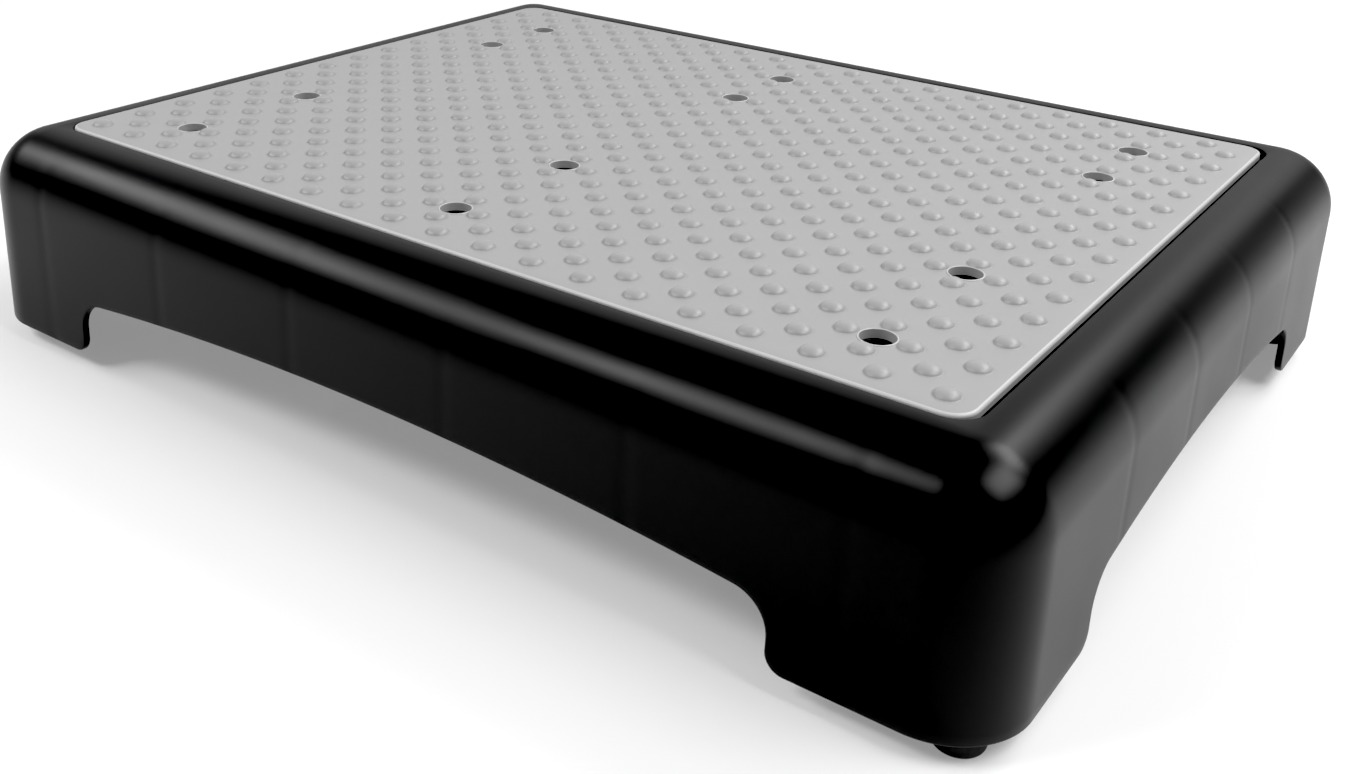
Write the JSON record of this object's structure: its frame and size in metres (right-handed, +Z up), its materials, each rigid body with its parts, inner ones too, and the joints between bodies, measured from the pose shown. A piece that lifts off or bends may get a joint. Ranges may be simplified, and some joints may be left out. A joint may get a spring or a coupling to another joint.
{
  "type": "half step platform",
  "caption": "Low moulded half step with arched walls, a studded grip mat with drain holes in its top, and screwed rubber feet.",
  "frame": {"origin": "on the floor under the middle of the step, the bottom centre of the bounding box", "axes": "+X along the step's length to the right, +Y from front to rear, +Z up; -Y is the front"},
  "size_m": [0.49, 0.39, 0.0977],
  "materials": {
    "shell": "satin moulded, fine grain",
    "mat": "soft satin, moulded studs",
    "adhesive": "matt film",
    "foot_rubber": "matt moulded rubber",
    "fastener_steel": "zinc plated"
  },
  "bodies": {
    "root": {"step_body": "shell", "body_deck": "shell", "body_ribs": "shell", "tread_mat": "mat", "mat_adhesive": "adhesive", "foot_front_left": "foot_rubber", "foot_front_right": "foot_rubber", "foot_rear_left": "foot_rubber", "foot_rear_right": "foot_rubber", "foot_washers": "fastener_steel", "foot_screws": "fastener_steel"}
  },
  "joints": []
}
